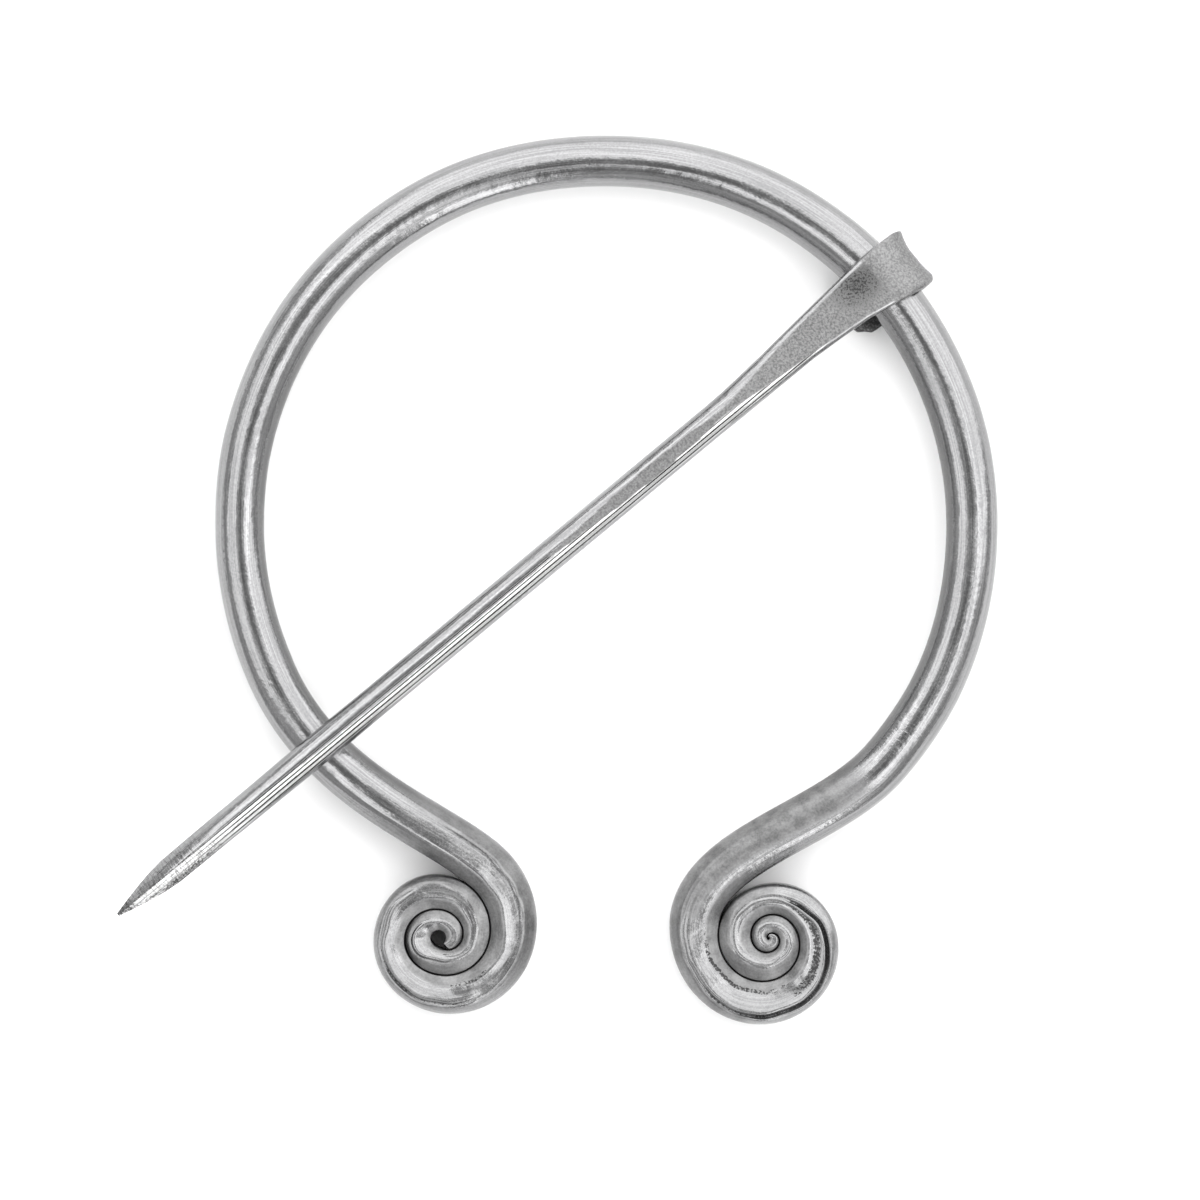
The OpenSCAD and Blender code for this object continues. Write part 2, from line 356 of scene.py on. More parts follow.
def loop_edges(bm, ring):
    """The edges between a ring's vertices."""
    edges = (bm.edges.get((ring[k - 1], ring[k])) for k in range(len(ring)))
    return [edge for edge in edges if edge]


def extruded(bm, ring):
    """The ring's edges extruded, and the new ring's vertices in the same order."""
    made = set(bmesh.ops.extrude_edge_only(bm, edges=loop_edges(bm, ring))["geom"])
    fresh = []
    for vertex in ring:
        ends = (edge.other_vert(vertex) for edge in vertex.link_edges)
        fresh.append(next(end for end in ends if end in made))
    return fresh


def set_ring(ring, station, layers, run):
    """Lays a ring of vertices on a station, and writes where each would lie on a straight rod."""
    straight, finish = layers
    for vertex, (x, z), marks in zip(ring, station.outline, station.finish):
        vertex.co = station.place + station.across * x + station.up * z
        vertex[straight] = Vector((x, z, run))
        vertex[finish] = Vector(marks)


def close_end(bm, ring, station, before, layers, run):
    """Rounds the cut end at a station over, away from the one before it, and closes it."""
    outwards = (station.place - before.place).normalized()
    middle = sum(station.outline, Vector((0, 0))) / len(ring)
    for share, out in END_ROUNDING:
        ring = extruded(bm, ring)
        outline = [middle.lerp(point, share) for point in station.outline]
        end = station._replace(place=station.place + outwards * out * MM, outline=outline)
        set_ring(ring, end, layers, run)
    bmesh.ops.contextual_create(bm, geom=loop_edges(bm, ring))


def add_object(name, data):
    """An object in the scene."""
    piece = bpy.data.objects.new(name, data)
    bpy.context.scene.collection.objects.link(piece)
    return piece


def add_mesh(name, bm):
    """An object made from a bmesh, which it uses up."""
    mesh = bpy.data.meshes.new(name)
    bm.to_mesh(mesh)
    bm.free()
    return add_object(name, mesh)


def sweep(name, stations):
    """A mesh object swept through the stations, closed and rounded at both ends."""
    bm = bmesh.new()
    layers = [bm.verts.layers.float_vector.new(layer) for layer in ("straight", "finish")]
    sides = len(stations[0].outline)
    circle = bmesh.ops.create_circle(bm, cap_ends=False, segments=sides, radius=1.0)["verts"]
    first = sorted(circle, key=lambda vertex: math.atan2(vertex.co.y, vertex.co.x) % FULL_TURN)
    run = 0.0
    set_ring(first, stations[0], layers, run)
    ring = first
    for before, station in zip(stations, stations[1:]):
        run += (station.place - before.place).length
        ring = extruded(bm, ring)
        set_ring(ring, station, layers, run)
    close_end(bm, ring, stations[-1], stations[-2], layers, run)
    close_end(bm, first, stations[0], stations[1], layers, 0.0)
    bmesh.ops.remove_doubles(bm, verts=bm.verts, dist=MERGE_DISTANCE)
    bmesh.ops.recalc_face_normals(bm, faces=bm.faces)
    for face in bm.faces:
        face.smooth = True
    return add_mesh(name, bm)


def rounded(corners, reaches):
    """A closed outline with each of its corners rounded to eight points."""
    outline = corners
    for cut in CORNER_CUTS:
        fresh = []
        for k, corner in enumerate(outline):
            reach = reaches[k * len(corners) // len(outline)] * cut
            for other in (outline[k - 1], outline[(k + 1) % len(outline)]):
                edge = other - corner
                fresh.append(corner + edge * min(MOST_CUT, reach / edge.length))
        outline = fresh
    return outline


def rod_directions():
    """The direction on the round rod that each point of a coil's section is forged from."""
    starts = [corner[FROM] for corner in STRIP_CORNERS]
    round_again = [starts[-1] - 360, *starts, starts[0] + 360]
    directions = []
    for before, start, after in zip(round_again, starts, round_again[2:]):
        for j in range(POINTS_PER_CORNER):
            share = (j + 0.5) / POINTS_PER_CORNER
            directions.append(mix(before + start, start + after, share) / 2)
    return directions


ROD_DIRECTIONS = rod_directions()


def strip_outline(width, high, features, seed, run, seam):
    """A coil's section in millimetres: a forged strip whose top has a rim, a lap and a ridge.
    The seam is how far its outer side has come to lie against the turn before."""
    corners = []
    for corner in STRIP_CORNERS:
        height = high - corner[DROP] * width if corner[FOOT] is None else corner[FOOT] * high
        corners.append(Vector((corner[ACROSS] * width / 2, height)))
    rim = (features[RIM] - 0.5) * width + drift(RIM_DRIFT, seed, run)
    inner = (0.5 - features[INNER]) * width + drift(INNER_DRIFT, seed, run)
    ridge = min(rim + RIDGE_OFF * width, mix(rim, inner, RIDGE_MOST))
    corners[RIM_CREASE].x = rim
    corners[LAP_FLOOR].x = (rim + ridge) / 2
    corners[RIDGE].x = ridge
    corners[VALLEY_FLOOR].x = mix(ridge, inner, VALLEY_PLACE)
    corners[INNER_CREASE].x = inner
    slope = (features[LEAN] + drift(LEAN_DRIFT, seed, run)) * 2
    for corner in corners[INNER_CREASE:LAP_FLOOR]:
        corner.y -= slope * (corner.x - (ridge + inner) / 2)
    corners[VALLEY_FLOOR].y -= features[VALLEY] + drift(VALLEY_DRIFT, seed, run)
    corners[LAP_FLOOR].y -= features[LAP]
    corners[RIM_CREASE].y += width * drift(CREASE_DRIFT, seed, run)
    corners[RIM_SIDE].y = high - features[BANK] * width + drift(BANK_DRIFT, seed, run)
    over = max(corner.y for corner in corners) - high
    for corner, row in zip(corners, STRIP_CORNERS):
        if row[FOOT] is None:
            corner.y -= over
    reaches = [corner[ROUNDING] for corner in STRIP_CORNERS]
    reaches[RIM_SIDE] = mix(reaches[RIM_SIDE], SEAM_ROUNDING, seam)
    return rounded(corners, reaches)


def strip_finish(features, seams, rim_matt):
    """How matt and filed each point of a coil's section is, and how dark it is painted: painted
    shade in its seams, laps and valleys, and a darker inner edge. The seams are the shares of
    painted shade down the inner and the outer side."""
    # Painted shade grows with the depth of a lap or a valley
    lap = mix(LOOSE_SHADE, 1, ramp(features[LAP], *LAP_SOLID)) * ramp(features[LAP], *LAP_SHADE)
    valley = VALLEY_MOST * ramp(features[VALLEY], *VALLEY_SHADE)
    shade_and_dirt = {0: seams[0], INNER_CREASE: features[INNER_EDGE_DARK], VALLEY_FLOOR: valley, LAP_FLOOR: lap,
            RIM_SIDE + 1: seams[1]}
    finish = []
    for k, corner in enumerate(STRIP_CORNERS):
        before = STRIP_CORNERS[k - 1][MATT]
        on_top = INNER_CREASE <= k <= RIM_CREASE
        for j in range(POINTS_PER_CORNER):
            matt = mix(before, corner[MATT], ease(j / (POINTS_PER_CORNER - 1)))
            if k in (RIM_CREASE, RIM_SIDE):
                matt = max(matt, rim_matt)
            spread = CREASE_SPREAD[j] if on_top else 1.0
            finish.append((matt, HAMMERED if on_top else 0.0, shade_and_dirt.get(k, 0.0) * spread))
    return finish


def rod_outline(width, thick, seed, run, facets):
    """The round rod's section in millimetres, with the faint flats of drawing."""
    outline = []
    for degrees in ROD_DIRECTIONS:
        way = heading(degrees)
        swell = 1 + facets * wander(seed, *(way * FLATS_ROUND), run / FLAT_LENGTH)
        outline.append(Vector((way.x * width / 2 * swell, way.y * thick / 2 * swell + ROD_Z / MM)))
    return outline


def edge_radii(terminal, angle):
    """Radii of a coil's outer and inner edge at an angle, in millimetres."""
    place = (QUARTER - angle) / QUARTER
    turns = (0, 360 // QUARTER)
    return [max(LEAST_RADIUS, along(terminal[EDGES], place + turn)) for turn in turns]


def coil_way(terminal, angle):
    """The direction from a coil's middle to its edge at an angle."""
    way = heading(angle)
    return Vector((-terminal[SIDE] * way.x, way.y))


def coil_middle(terminal, angle):
    """The middle of the strip in plan at an angle, in millimetres."""
    outer, inner = edge_radii(terminal, angle)
    return Vector(terminal[CENTRE]) + coil_way(terminal, angle) * (outer + inner) / 2


def bezier(points, share):
    """The point on a cubic curve, and the curve's direction there."""
    while len(points) > 2:
        points = [a.lerp(b, share) for a, b in zip(points, points[1:])]
    return points[0].lerp(points[1], share), (points[1] - points[0]).normalized()


def flat_station(place, across, outline, finish):
    """A section that stands upright in the hoop, from millimetres; its outline's z is absolute."""
    outline = [point * MM for point in outline]
    return Station(place.to_3d() * MM, across.to_3d(), UP, outline, finish)


def features_at(terminal, angle):
    """What the hammer left at an angle in the coil."""
    rows = terminal[FEATURES]
    return [row_at(rows, angle, column) for column in range(len(rows[0]))]


def rim_matt(turned_in):
    """How matt the outer rim is so far into a coil: polished only at the bottom of the coil."""
    return RIM_MATT * max(1 - ramp(turned_in, *RIM_POLISHED), ramp(turned_in, *RIM_DULL))


def coil_stations(terminal, sizes):
    """The coil's sections, from its shank inwards."""
    high, dish, gap = (value / MM for value in (sizes.coil_height, sizes.coil_dish, sizes.turn_gap))
    turn = terminal[START] - terminal[FINISH]
    steps = round(turn / COIL_STEP)
    run = 0.0
    for k in range(steps + 1):
        turned_in = turn * k / steps
        angle = terminal[START] - turned_in
        outer, inner = edge_radii(terminal, angle)
        top = high - dish * k / steps
        features = features_at(terminal, angle)
        seams = ramp(turned_in, *INNER_SEAM), ramp(turned_in, *OUTER_SEAM)
        outline = strip_outline(
            outer - inner - gap, top, features, terminal[COIL_SEED], run, seams[1])
        finish = strip_finish(features, seams, rim_matt(turned_in))
        place = coil_middle(terminal, angle)
        yield flat_station(place, -coil_way(terminal, angle), outline, finish)
        run += math.radians(turn / steps) * (outer + inner) / 2


def shank_stations(terminal, sizes):
    """The sections between the round of the hoop and the coil, from the hoop on."""
    side, start = terminal[SIDE], terminal[START]
    leave = heading(terminal[LEAVE])
    out_way = -side * turned(leave, QUARTER)
    end = coil_middle(terminal, start)
    in_way = (coil_middle(terminal, start - TURN_IN) - end).normalized()
    leave = leave * sizes.hoop_radius / MM
    points = (leave, leave + out_way * terminal[REACH_OUT], end - in_way * terminal[REACH_IN], end)
    last = turned(bezier(points, 1)[1], side * QUARTER)
    skew = math.degrees(last.angle_signed(-coil_way(terminal, start)))
    outer, inner = edge_radii(terminal, start)
    rod_width = row_at(ROD_ROWS, terminal[LEAVE], WIDTH)
    end_width = outer - inner - sizes.turn_gap / MM
    features = features_at(terminal, start)
    last_finish = strip_finish(features, (0, 0), rim_matt(0))
    seed = terminal[SHANK_SEED]
    for k in range(SHANK_STEPS):
        share = k / SHANK_STEPS
        flat = ease(share)
        place, way = bezier(points, share)
        across = turned(way, side * QUARTER - skew * share ** 3)
        width = mix(rod_width, end_width, flat)
        rod = rod_outline(
            width, sizes.rod_thickness / MM, seed, -SHANK_RUN * k, sizes.facet_depth)
        strip = strip_outline(width, sizes.coil_height / MM, features, seed, 0.0, 0.0)
        outline = [point.lerp(goal, flat) for point, goal in zip(rod, strip)]
        satin = ramp(share, *SATIN_COMES) * mix(1, SATIN_LEFT, ramp(share, *SATIN_GOES))
        forged = flat ** 2
        finish = []
        for (matt, hammered, shade_and_dirt), degrees in zip(last_finish, ROD_DIRECTIONS):
            on_top = ramp(degrees, *TOP_FROM) * ramp(degrees, *TOP_TO)
            matt = max(mix(ROD_MATT, matt, forged), terminal[SATIN] * satin * on_top)
            finish.append((matt, hammered * forged, shade_and_dirt * forged))
        yield flat_station(place, across, outline, finish)


def filed_share(angle, direction):
    """How much a file crossed the rod at an angle on the hoop and a direction on the section."""
    filed = 0.0
    for place, spread, side in FILED_PATCHES:
        off = abs((direction - side + 180) % 360 - 180)
        filed = max(filed, (1 - ease(abs(angle - place) / spread)) * (1 - ramp(off, *FILED_FADE)))
    return filed


def arc_stations(sizes):
    """The round of the hoop, from the left shank to the right one."""
    hoop_r, thick = sizes.hoop_radius / MM, sizes.rod_thickness / MM
    turn = LEFT[LEAVE] - RIGHT[LEAVE]
    steps = round(turn / ARC_STEP)
    for k in range(1, steps):
        angle = LEFT[LEAVE] - turn * k / steps
        out = heading(angle)
        width = row_at(ROD_ROWS, angle, WIDTH)
        run = math.radians(angle) * hoop_r
        outline = rod_outline(width, thick, ARC_SEED, run, sizes.facet_depth)
        finish = [(ROD_MATT, filed_share(angle, direction), 0.0) for direction in ROD_DIRECTIONS]
        place = out * (hoop_r + row_at(ROD_ROWS, angle, OFF))
        yield flat_station(place, out, outline, finish)


def hoop_stations(sizes):
    """Every section of the hoop, from the middle of the left coil to the middle of the right."""
    left, right = (
        [*shank_stations(end, sizes), *coil_stations(end, sizes)] for end in (LEFT, RIGHT))
    return [*left[::-1], *arc_stations(sizes), *right]


class Socket:
    """A value on its way through a material, so that shader maths reads as plain expressions."""

    def __init__(self, recipe, socket):
        self.recipe = recipe
        self.socket = socket

    def __add__(self, other):
        return self.recipe.maths("ADD", self, other)

    def __sub__(self, other):
        return self.recipe.maths("SUBTRACT", self, other)

    def __rsub__(self, other):
        return self.recipe.maths("SUBTRACT", other, self)

    def __mul__(self, other):
        return self.recipe.maths("MULTIPLY", self, other)

    __radd__, __rmul__ = __add__, __mul__

    def step(self, low, high):
        """A smooth step of the value from 0 at low to 1 at high."""
        settings = {"interpolation_type": "SMOOTHSTEP"}
        return self.recipe.node("ShaderNodeMapRange", settings, {0: self, 1: low, 2: high})


def new_material(name):
    """An empty material with nodes."""
    material = bpy.data.materials.new(name)
    material.use_nodes = True
    return material


class Recipe:
    """A node tree and the one method that adds a node to it."""

    def __init__(self, tree):
        self.tree = tree
        self.tree.nodes.clear()

    def node(self, kind, settings, inputs, output=0):
        """Adds a node, gives it its settings and then its inputs, and returns an output."""
        node = self.tree.nodes.new(kind)
        for setting, value in settings.items():
            setattr(node, setting, value)
        for key, value in inputs.items():
            if isinstance(value, Socket):
                self.tree.links.new(value.socket, node.inputs[key])
            else:
                node.inputs[key].default_value = value
        return Socket(self, node.outputs[output]) if node.outputs else None

    def attribute(self, name):
        """A vector that the mesh carries at each of its points."""
        return self.node("ShaderNodeAttribute", {"attribute_name": name}, {}, "Vector")

    def coordinate(self, kind):
        """A place or a direction of the surface in its own object."""
        return self.node("ShaderNodeTexCoord", {}, {}, kind)

    def parts(self, vector):
        """A vector's three numbers."""
        return [self.node("ShaderNodeSeparateXYZ", {}, {0: vector}, axis) for axis in range(3)]

    def maths(self, operation, *values):
        """The values put through a Math node."""
        return self.node("ShaderNodeMath", {"operation": operation}, dict(enumerate(values)))

    def grain(self, vector, waves, detail=2.0, roughness=0.5):
        """Noise from 0 to 1 over a vector, with so many waves to the millimetre on each axis."""
        inputs = {0: vector, 1: [wave * PER_MM for wave in waves]}
        scaled = self.node("ShaderNodeVectorMath", {"operation": "MULTIPLY"}, inputs)
        return self.node("ShaderNodeTexNoise", {}, {
            "Vector": scaled, "Scale": 1.0, "Detail": detail, "Roughness": roughness})

    def blend(self, share, low, high):
        """A colour between two colours."""
        settings = {"data_type": "RGBA", "clamp_factor": True}
        return self.node("ShaderNodeMix", settings, {0: share, 6: low, 7: high}, 2)

    def bump(self, height, distance, normal=None):
        """The surface's normal after relief of that height."""
        inputs = {"Height": height, "Distance": distance, "Strength": 1.0}
        if normal:
            inputs["Normal"] = normal
        return self.node("ShaderNodeBump", {}, inputs)

    def shade(self, inputs):
        """The shader, led to the surface."""
        shader = self.node("ShaderNodeBsdfPrincipled", {}, inputs)
        self.node("ShaderNodeOutputMaterial", {}, {"Surface": shader})


# Waves to the millimetre: across, up and along the straight rod, and along the axes in space
FINE_LINES, BROAD_LINES = (8, 8, 0.14), (2.1, 2.1, 0.05)
PIN_MARKS, HOOP_MARKS = (1.0, 1.0, 6.0), (1.4, 1.4, 3.0)
SPECKLE, PATCHES, DENTS = (5.5,) * 3, (0.32,) * 3, (0.75,) * 3
# The painted highlight on the pin's lower side: where it begins and ends across the pin, and how
# far up it faces
HIGHLIGHT_BEGINS, HIGHLIGHT_ENDS, HIGHLIGHT_FACES = (0.06 * MM, 0.0), (-1.2 * MM, -1.0 * MM), (0.3, 0.6)
# Its grooves: how far they waver and their edges, both in gaps between two of them
GROOVE_WAVER, GROOVE_EDGE = 0.3, (0.24, 0.12)
# The painted shade inside the hoop: how far across the rod, and where along Y it comes and goes
INNER_SHADE_PLACES = (-1.2 * MM, -1.9 * MM), (24 * MM, 10 * MM), (-28 * MM, -20 * MM)
# How widely the edge of the painted shade and darker lines breaks up into speckles
PIN_BLUR, HOOP_BLUR = 0.6, 0.25


def highlight_and_grooves(recipe, look, across, broad_lines):
    """How far a place lies in the painted highlight on the pin's lower side, chosen by how far its
    normal faces up, and how far in one of its grooves.
    """
    facing_up = recipe.parts(recipe.coordinate("Normal"))[2]
    side = across.step(*HIGHLIGHT_BEGINS) * across.step(*HIGHLIGHT_ENDS) * facing_up.step(*HIGHLIGHT_FACES)
    place = across * (1 / look.groove_gap) + broad_lines * GROOVE_WAVER
    return side, recipe.maths("PINGPONG", place, 0.5).step(*GROOVE_EDGE)


def steel(name, look, is_pin):
    """Forged steel: lines along the rod, matt grain and marks across it where it was filed, dents,
    painted shade in its seams and hollows and darker lines. The pin has a painted highlight on its
    lower side with painted shade in grooves along it, and the hoop has painted shade inside.
    Noise keeps near a half, so the steps that spread it run from about 0.35 to 0.65."""
    material = new_material(name)
    recipe = Recipe(material.node_tree)
    straight = recipe.attribute("straight")
    matt, filed, shade_and_dirt = recipe.parts(recipe.attribute("finish"))
    place = recipe.coordinate("Object")
    across = recipe.parts(straight)[0]
    coarse = 1.0 if is_pin else 0.4

    fine_lines = recipe.grain(straight, FINE_LINES)
    broad_lines = recipe.grain(straight, BROAD_LINES, 1.5)
    across_lines = recipe.grain(straight, PIN_MARKS if is_pin else HOOP_MARKS)
    speckle = recipe.grain(place, SPECKLE, 2.0, 0.6)
    worn = recipe.grain(place, PATCHES).step(0.42, 0.62)
    dents = recipe.grain(place, DENTS, 3.0, 0.55)

    streak = fine_lines.step(0.38, 0.66) * 0.6 + broad_lines.step(0.35, 0.65) * 0.4
    streak = streak + (speckle.step(0.3, 0.7) - 0.5) * 0.4
    colour = recipe.blend(streak, look.dark_steel, look.light_steel)
    lines = fine_lines * 0.6 + broad_lines
    inner_shade = 0.0
    if is_pin:
        # A painted highlight on the pin's lower side, with painted shade in the grooves along it
        side, groove = highlight_and_grooves(recipe, look, across, broad_lines)
        side = side * (1 - matt)
        groove = groove * side * (1 - filed * 0.5)
        colour = recipe.blend(side * 0.9, colour, look.painted_highlight)
        colour = recipe.blend(groove, colour, look.shade_and_dirt)
        colour = recipe.blend(across_lines.step(0.48, 0.62) * filed * 0.4, colour, look.shade_and_dirt)
        lines = lines - groove * 1.2
    else:
        north = recipe.parts(place)[1]
        inside, top, foot = INNER_SHADE_PLACES
        # Painted shade on the hoop's inner side, which also makes it rougher
        inner_shade = across.step(*inside) * north.step(*top) * north.step(*foot)
        colour = recipe.blend(inner_shade * 0.85, colour, look.pits_and_inner_shade)
    pits = speckle.step(0.3, 0.7) * coarse + dents.step(0.35, 0.65) * (1 - coarse)
    grained = recipe.blend(pits, look.pits_and_inner_shade, look.matt_steel)
    colour = recipe.blend(matt * 0.9, colour, grained)
    # The finish's third number paints shade into seams, laps, valleys, the head's dent, the point's
    # ridge and edge and under the loop, and darkens lines and the point's tip
    undarkened, blur = 1 - shade_and_dirt, PIN_BLUR if is_pin else HOOP_BLUR
    shade_and_dirt_mask = speckle.step(0.32, 0.68).step(undarkened - blur, undarkened + blur) * shade_and_dirt.step(0.0, 0.2)
    colour = recipe.blend(shade_and_dirt_mask, colour, look.shade_and_dirt)

    roughness = (look.polish + worn * 0.06 + fine_lines.step(0.45, 0.75) * 0.05 + inner_shade * 0.12
                 + matt * look.matt_gain + speckle.step(0.4, 0.8) * 0.05 + shade_and_dirt_mask * 0.2)

    relief = recipe.bump(dents, look.dent_depth)
    relief = recipe.bump(lines, look.pin_line_depth if is_pin else look.line_depth, relief)
    grain = speckle * (worn * 0.3 + matt * 2.4 * coarse + 0.1) + across_lines * filed * 4.0
    relief = recipe.bump(grain, look.grain_depth, relief)

    recipe.shade({"Base Color": colour, "Roughness": roughness, "Metallic": 1.0, "Normal": relief})
    return material


def finish_piece(piece, body, material):
    """Gives a piece its steel and says where it belongs in the frame."""
    piece.data.materials.append(material)
    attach(piece, body)
    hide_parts(body)


def pin_origin(hoop_r):
    """Where the pin's line crosses the middle of the hoop's rod, under the head."""
    start = SHAFT_PLACE.xy
    way = PIN_WAY.xy.normalized()
    nearest = start - way * start.dot(way)
    crossing = nearest + way * math.sqrt(hoop_r ** 2 - nearest.length_squared)
    return Vector((*crossing, ROD_Z))


def pin_section(width, thick, square, flat, middle, low, soft):
    """A section of the pin in millimetres, filed flat on top over a share of its width, with
    edges that soft. Gives the outline and how flat each point is."""
    rise = thick / 2
    lift = (1 - flat ** square) ** (-1 / square) if flat > 0 else 1.0
    outline, flats = [], []
    for angle in PIN_ANGLES:
        y = signed_power(math.cos(angle), square) * width / 2
        z = signed_power(math.sin(angle), square) * rise
        if z > 0:
            z *= lift
        over = z - rise
        cut = min(z, rise) if abs(over) > soft else rise - (soft - over) ** 2 / (4 * soft)
        flats.append(ease(over / soft + 0.5) if lift > 1 else 0.0)
        outline.append(Vector((y + middle, low + rise + cut)))
    return outline, flats


def head_dent(x, y):
    """How much of the hammer's dent in the head a place has, in millimetres from the rod."""
    (middle_x, middle_y), (wide_x, wide_y) = DENT_PLACE, DENT_SIZE
    return math.exp(-((x - middle_x) / wide_x) ** 2 - ((y - middle_y) / wide_y) ** 2)


def leant(y, level):
    """A place across the head's strip, whose upper left side leans in towards its top."""
    return y - SIDE_LEAN * level * ease(y / LEAN_WIDTH)


class PinLine:
    """The pin's own frame and its sections. X runs along it from its point, Y to the upper left
    and Z up, in millimetres from the middle of the rod under its head."""

    def __init__(self, sizes, hoop_r):
        self.sizes = sizes
        self.origin = pin_origin(hoop_r)
        self.forth = Vector((*PIN_WAY.xy, 0)).normalized()
        self.aside = UP.cross(self.forth)
        self.axis_z = (SHAFT_PLACE.z - ROD_Z) / MM
        self.full = 2 * SHAFT_R / MM
        self.slim = self.full - sizes.point_slimmer / MM
        self.strip = sizes.strip_thickness / MM
        self.bore_r = ROD_Z / MM - self.strip
        self.tip = -sizes.reach / MM
        self.shoulder = self.tip + sizes.point_length / MM

    def station(self, place, outline, finish):
        """A section that stands upright at a place along the pin."""
        where = self.origin + self.forth * place * MM
        return Station(where, self.aside, UP, [point * MM for point in outline], finish)

    def round_section(self, width, square, soft):
        """A section about the shaft's own middle."""
        return pin_section(width, width, square, 0, 0, self.axis_z - width / 2, soft)[0]

    def point_darkening(self, at, width, share):
        """Painted shade along the point's ridge and its lower edge, and a darker tip."""
        ridge = RIDGE_SHADE if abs(at.x) < RIDGE_HALF and at.y > self.axis_z else 0.0
        edge = ramp(-at.x / width, *EDGE_ACROSS) * mix(EDGE_FAINT, 1, ramp(share, *EDGE_ALONG))
        return max(ridge, EDGE_SHADE * edge, TIP_DARKENING * ramp(share, *TIP_ALONG))

    def point(self):
        """The filed point's sections."""
        for k in range(POINT_STEPS):
            share = k / POINT_STEPS
            width = self.slim * row_at(POINT_ROWS, share, P_WIDTH, False)
            outline = self.round_section(width, row_at(POINT_ROWS, share, P_SQUARE), POINT_SOFT)
            marks = 1 - ramp(share, *POINT_MARKS)
            finish = [
                (POINT_MATT, marks, self.point_darkening(at, width, share) * marks) for at in outline]
            yield self.station(mix(self.tip, self.shoulder, share), outline, finish)

    def shaft(self):
        """The round shaft's sections, with the long flat filed on top near the head."""
        facets, swell = self.sizes.facet_depth, self.sizes.swell_length / MM
        for k in range(SHAFT_STEPS):
            place = mix(self.shoulder, NECK_ROWS[0][N_PLACE], k / SHAFT_STEPS)
            swollen = (place - self.shoulder) / swell
            width = mix(self.slim, self.full, min(1.0, swollen))
            flat = row_at(FLAT_ROWS, place, F_WIDTH) / width
            dip = (1 - math.sqrt(1 - flat ** 2)) * width / 2
            square = mix(POINT_ROWS[-1][P_SQUARE], ROUND, ease(swollen))
            outline = self.round_section(width, square, SHAFT_SOFT)
            ceiling = self.axis_z + width / 2 - dip
            finish = []
            for at in outline:
                cut = dip > 0 and at.y > ceiling - FLAT_MARGIN
                finish.append((FLAT_MATT if cut else 0.0, 0.0, 0.0))
                if dip > 0:
                    at.y = min(at.y, ceiling)
                flat_place = *(at * SHAFT_FLATS), place / SHAFT_FLAT_LENGTH
                at.x *= 1 + facets * wander(SHAFT_SEED, *flat_place)
            yield self.station(place, outline, finish)

    def neck(self):
        """The sections from the shaft to the rod, where the pin is hammered wide and flat."""
        start = NECK_ROWS[0][N_PLACE]
        for k in range(NECK_STEPS):
            place = mix(start, 0, k / NECK_STEPS)
            width, thick, square, flat, middle = (
                row_at(NECK_ROWS, place, column, False)
                for column in (N_WIDTH, N_THICK, N_SQUARE, N_FLAT, N_ASIDE))
            low = mix(self.axis_z - self.full / 2, self.bore_r, ramp(place, start, 0))
            outline, flats = pin_section(width, thick, square, flat, middle, low, NECK_SOFT)
            finish = []
            for at, level in zip(outline, flats):
                dented = head_dent(place, at.x) * level
                at.x = leant(at.x, min(1.0, (at.y - low) / thick) * ramp(place, start, 0))
                at.y -= dented * self.sizes.head_dent / MM
                # The dent is also painted with shade
                finish.append((level, 0.0, dented * DENT_SHADE))
            yield self.station(place, outline, finish)

    def loop_bend(self, edge, curl, beside):
        """How far the loop stands off the rod at a place across it, from -1 to 1."""
        bend = curl * abs(edge) ** CURL_POWER + self.sizes.loop_bulge / MM * beside
        if edge > 0:
            return bend + self.sizes.corner_reach / MM * beside * edge ** 3
        worn = max(0.0, (-edge - WORN_FROM) / (1 - WORN_FROM)) ** 2
        return bend - self.sizes.corner_rounding / MM * beside * worn

    def loop(self):
        """The sections of the strip bent round the rod, and of its free end."""
        for k in range(LOOP_STEPS + 1):
            down = LOOP_TURN * k / LOOP_STEPS
            angle = math.radians(QUARTER - down)
            width, curl, middle = (
                row_at(LOOP_ROWS, down, column) for column in (L_WIDTH, L_CURL, L_ASIDE))
            radial = self.forth * math.cos(angle) + UP * math.sin(angle)
            # under is the painted shade on the loop's lower part and its free end, under the rod
            upright, under = ease(1 - down / QUARTER), ramp(down, *UNDER_SHADE)
            outline, finish = [], []
            for around in PIN_ANGLES:
                edge = signed_power(math.cos(around), STRIP_SQUARE)
                z = signed_power(math.sin(around), STRIP_SQUARE) * self.strip / 2
                y = leant(edge * width / 2, (z / self.strip + 0.5) * upright)
                z += self.bore_r + self.strip / 2 + self.loop_bend(edge, curl, math.cos(angle) ** 2)
                outline.append(Vector((y + middle, z)) * MM)
                matt = OUTSIDE_MATT if math.sin(around) > OUTSIDE_FROM else INSIDE_MATT
                finish.append((matt, 0.0, under))
            yield Station(self.origin, self.aside, radial, outline, finish)
        way = self.forth * math.sin(angle) - UP * math.cos(angle)
        for k in range(1, TAIL_STEPS + 1):
            share = k / TAIL_STEPS
            lower = 1 - TAPER_LOWER * share - TAIL_CUT * ramp(share, *TAIL_CUT_ALONG)
            upper = 1 - TAPER_UPPER * share
            narrowed = [Vector((at.x * (lower if at.x < 0 else upper), at.y)) for at in outline]
            place = self.origin + way * self.sizes.tail_length * share
            yield Station(place, self.aside, radial, narrowed, finish)

    def stations(self):
        """Every section of the pin, from its point to the end of its bent strip."""
        return [*self.point(), *self.shaft(), *self.neck(), *self.loop()]


def length(name, description, millimetres):
    """A length that the user can change."""
    return FloatProperty(
        name=name, description=description, default=millimetres * MM, unit="LENGTH", precision=6)


